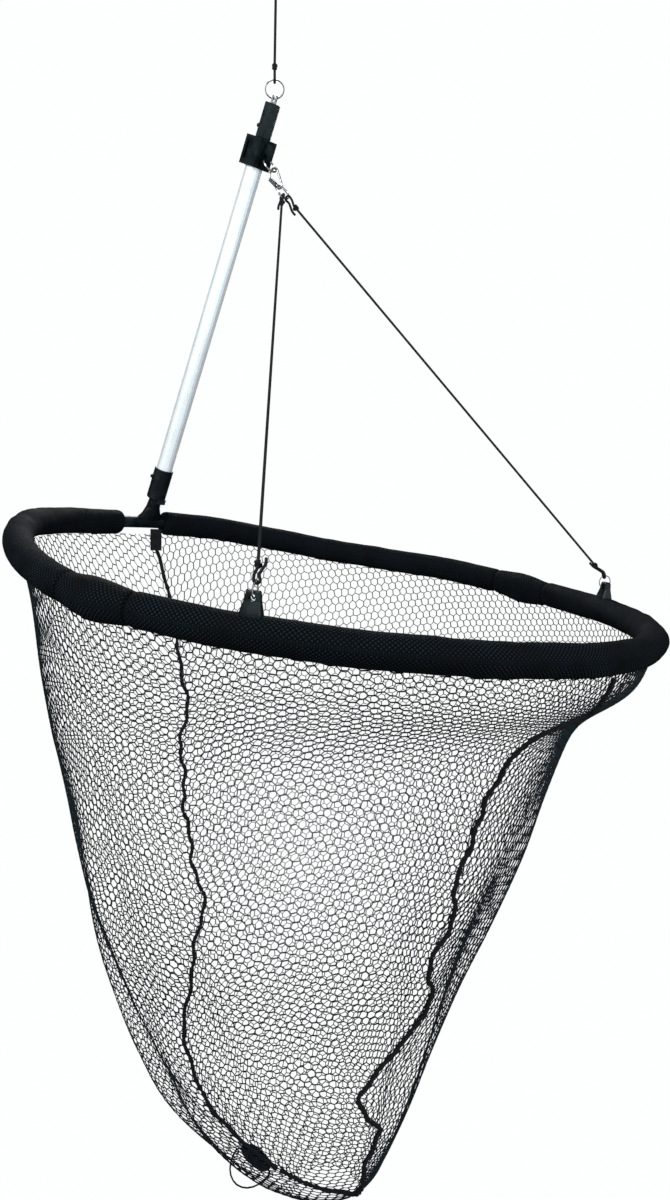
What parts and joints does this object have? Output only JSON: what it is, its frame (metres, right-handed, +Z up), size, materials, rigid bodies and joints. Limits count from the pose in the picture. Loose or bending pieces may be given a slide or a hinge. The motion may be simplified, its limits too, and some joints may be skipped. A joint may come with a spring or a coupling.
{
  "type": "drop net",
  "caption": "Round folding drop net on a haul line: padded tube hoop, deep mesh bag, rigid leaning arm, corded bridle with carabiner and bottom pull loop.",
  "frame": {"origin": "top of the loop that ends the haul line, where the net is held up", "axes": "+Z up against the pull of gravity, -Z down the net; the arm and its tee stand on the hoop's +X side and lean to -X; Y is along the hoop's fold axis"},
  "size_m": [0.8159, 0.842, 1.6608],
  "materials": {
    "matte_black_plastic": "moulded, fine satin",
    "bare_aluminium": "drawn tube, satin",
    "bright_steel": "bright, polished",
    "black_sleeve_fabric": "woven polyester over foam, matte",
    "black_cord": "braided cord, matte",
    "black_mesh": "knitted hexagonal mesh"
  },
  "bodies": {
    "arm_and_rear_hoop": {"arm_tube": "bare_aluminium", "bottom_patch": "black_sleeve_fabric", "bridle_cord_left": "black_cord", "bridle_cord_right": "black_cord", "bridle_ring": "bright_steel", "bridle_top_knot_left": "black_cord", "bridle_top_knot_right": "black_cord", "carabiner": "bright_steel", "collar": "matte_black_plastic", "collar_ring": "bright_steel", "collar_rivet": "bright_steel", "eye_fork": "bright_steel", "fold_pin_left": "bright_steel", "fold_pin_right": "bright_steel", "gate_pin": "bright_steel", "haul_foot_knot": "black_cord", "haul_line": "black_cord", "haul_loop_knot": "black_cord", "hinge_cuff_left": "black_sleeve_fabric", "hinge_cuff_right": "black_sleeve_fabric", "hoop_tee": "matte_black_plastic", "lower_snap_spring": "bright_steel", "lower_socket": "matte_black_plastic", "net_panel_left": "black_mesh", "net_panel_right": "black_mesh", "patch_keeper": "black_sleeve_fabric", "rear_knuckle_left": "matte_black_plastic", "rear_knuckle_right": "matte_black_plastic", "rear_sleeve_left": "black_sleeve_fabric", "rear_sleeve_right": "black_sleeve_fabric", "rear_tube_left": "bare_aluminium", "rear_tube_right": "bare_aluminium", "seam_cord_front": "black_cord", "seam_cord_rear": "black_cord", "seam_tab": "black_sleeve_fabric", "top_spigot": "matte_black_plastic", "top_split_ring": "bright_steel", "upper_button_spring": "bright_steel"},
    "front_hoop": {"front_tube": "bare_aluminium", "front_sleeve": "black_sleeve_fabric", "front_knuckle_left": "matte_black_plastic", "front_knuckle_right": "matte_black_plastic", "cord_lug_left": "matte_black_plastic", "cord_lug_right": "matte_black_plastic", "lug_screw_left": "bright_steel", "lug_screw_right": "bright_steel", "lug_clip_left": "bright_steel", "lug_clip_right": "bright_steel", "bridle_low_knot_left": "black_cord", "bridle_low_knot_right": "black_cord"},
    "lower_button": {"lower_snap_button": "matte_black_plastic"},
    "upper_button": {"upper_snap_button": "matte_black_plastic"},
    "gate": {"carabiner_gate": "bright_steel"},
    "pull_loop": {"pull_loop": "black_cord"}
  },
  "joints": [
    {"name": "hoop_fold", "type": "hinge", "parent": "arm_and_rear_hoop", "child": "front_hoop", "pos_m": [-0.14742, 0, -0.84654], "axis": [0, 1, 0], "range_deg": [0, 160], "deforming": ["bridle_cord_left", "bridle_cord_right", "hinge_cuff_left", "hinge_cuff_right", "net_panel_left", "net_panel_right", "seam_cord_front"]},
    {"name": "lower_button_press", "type": "slide", "parent": "arm_and_rear_hoop", "child": "lower_button", "axis": [-0.6702, -0.6652, -0.3292], "range_m": [0, 0.0025], "stiffness_N_per_m": 800, "deforming": ["lower_snap_spring"]},
    {"name": "upper_button_press", "type": "slide", "parent": "arm_and_rear_hoop", "child": "upper_button", "axis": [-0.6702, -0.6652, -0.3292], "range_m": [0, 0.0025], "stiffness_N_per_m": 800, "deforming": ["upper_button_spring"]},
    {"name": "gate_swing", "type": "hinge", "parent": "arm_and_rear_hoop", "child": "gate", "pos_m": [-0.00088, 0, -0.3073], "axis": [0, -1, 0], "range_deg": [0, 25], "stiffness_Nm_per_rad": 0.02},
    {"name": "pull_loop_swing", "type": "hinge", "parent": "arm_and_rear_hoop", "child": "pull_loop", "pos_m": [-0.01388, 0.0587, -1.6198], "axis": [0.7036, 0.4481, 0.5515], "range_deg": [-40, 60]}
  ]
}
